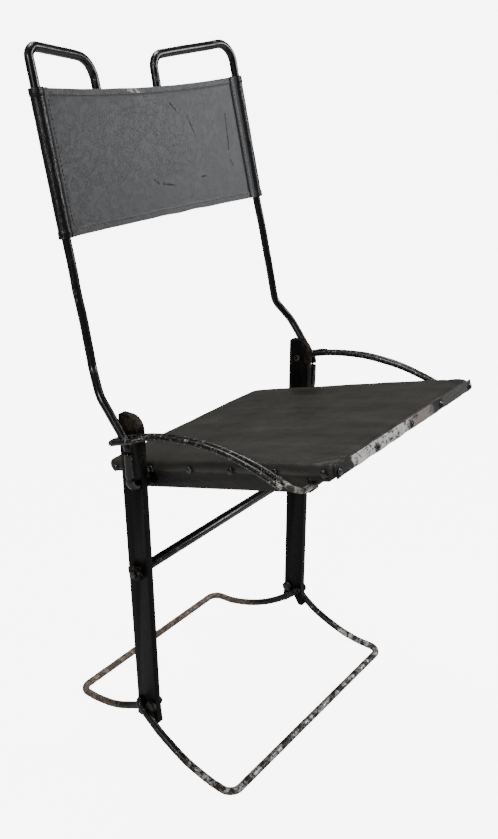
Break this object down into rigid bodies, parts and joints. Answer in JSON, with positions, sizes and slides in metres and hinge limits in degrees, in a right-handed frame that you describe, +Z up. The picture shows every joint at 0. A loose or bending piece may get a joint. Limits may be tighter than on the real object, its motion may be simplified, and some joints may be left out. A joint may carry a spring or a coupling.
{
  "type": "folding chair",
  "caption": "Folding chair of black iron rod and flat bar, with a leather back panel, a leather-covered tilted seat, hairpin arm hoops and hinged U-shaped foot rods.",
  "frame": {"origin": "on the floor under the middle of the chair's width and depth", "axes": "+Z up, -Y towards the sitter's front, +X to the right of someone looking along +Y at the chair's front"},
  "size_m": [0.4338, 0.4546, 0.9204],
  "materials": {
    "black_iron": "old black paint, satin, chipped and worn to grey-brown iron on edges and rods",
    "worn_iron": "bare hammered iron, worn, brown rust in the hollows",
    "nail_iron": "dark domed iron nail heads rubbed bright on top",
    "leather": "old dark grey-black leather, scuffed, dull sheen",
    "wood": "dark stained wood, worn"
  },
  "bodies": {
    "frame": {"left_post": "black_iron", "right_post": "black_iron", "stretcher_rod": "black_iron", "stretcher_nut_left": "worn_iron", "stretcher_nut_right": "worn_iron"},
    "back": {"back_frame_rod": "black_iron", "back_panel": "leather"},
    "seat": {"seat_board": "wood", "seat_cover": "leather", "front_trim_band": "leather", "seat_rail_left": "wood", "seat_rail_right": "wood", "seat_front_batten": "wood", "pivot_spacer_left": "black_iron", "pivot_spacer_right": "black_iron", "pivot_washer_left": "worn_iron", "pivot_washer_right": "worn_iron", "nail_front_1": "nail_iron", "nail_front_2": "nail_iron", "nail_front_3": "nail_iron", "nail_front_4": "nail_iron", "nail_front_5": "nail_iron", "nail_left_1": "nail_iron", "nail_left_2": "nail_iron", "nail_left_3": "nail_iron", "nail_left_4": "nail_iron", "nail_left_5": "nail_iron", "nail_left_6": "nail_iron", "nail_right_1": "nail_iron", "nail_right_2": "nail_iron", "nail_right_3": "nail_iron", "nail_right_4": "nail_iron", "nail_right_5": "nail_iron", "nail_right_6": "nail_iron", "nail_rear_1": "nail_iron", "nail_rear_2": "nail_iron", "nail_rear_3": "nail_iron", "nail_rear_4": "nail_iron"},
    "hoop": {"arm_hoop": "black_iron", "hoop_pin_left": "worn_iron", "hoop_pin_right": "worn_iron"},
    "front_foot": {"front_foot_rod": "black_iron", "front_foot_washer_left": "worn_iron", "front_foot_washer_right": "worn_iron"},
    "rear_foot": {"rear_foot_rod": "black_iron", "rear_foot_washer_left": "worn_iron", "rear_foot_washer_right": "worn_iron"}
  },
  "joints": [
    {"name": "seat_fold", "type": "hinge", "parent": "frame", "child": "seat", "pos_m": [0, 0.04677, 0.427], "axis": [-1, 0, 0], "range_deg": [0, 72]},
    {"name": "hoop_swing", "type": "hinge", "parent": "frame", "child": "hoop", "pos_m": [0, 0.05877, 0.4895], "axis": [-1, 0, 0], "range_deg": [0, 72]},
    {"name": "back_rock", "type": "hinge", "parent": "frame", "child": "back", "pos_m": [0, 0.04677, 0.427], "axis": [-1, 0, 0], "range_deg": [0, 2]},
    {"name": "front_foot_fold", "type": "hinge", "parent": "frame", "child": "front_foot", "pos_m": [0, 0.06774, 0.076], "axis": [1, 0, 0], "range_deg": [0, 60]},
    {"name": "rear_foot_fold", "type": "hinge", "parent": "frame", "child": "rear_foot", "pos_m": [0, 0.04579, 0.076], "axis": [-1, 0, 0], "range_deg": [0, 60]}
  ],
  "couplings": [
    {"joint": "hoop_swing", "follows": "seat_fold", "ratio": 1}
  ]
}
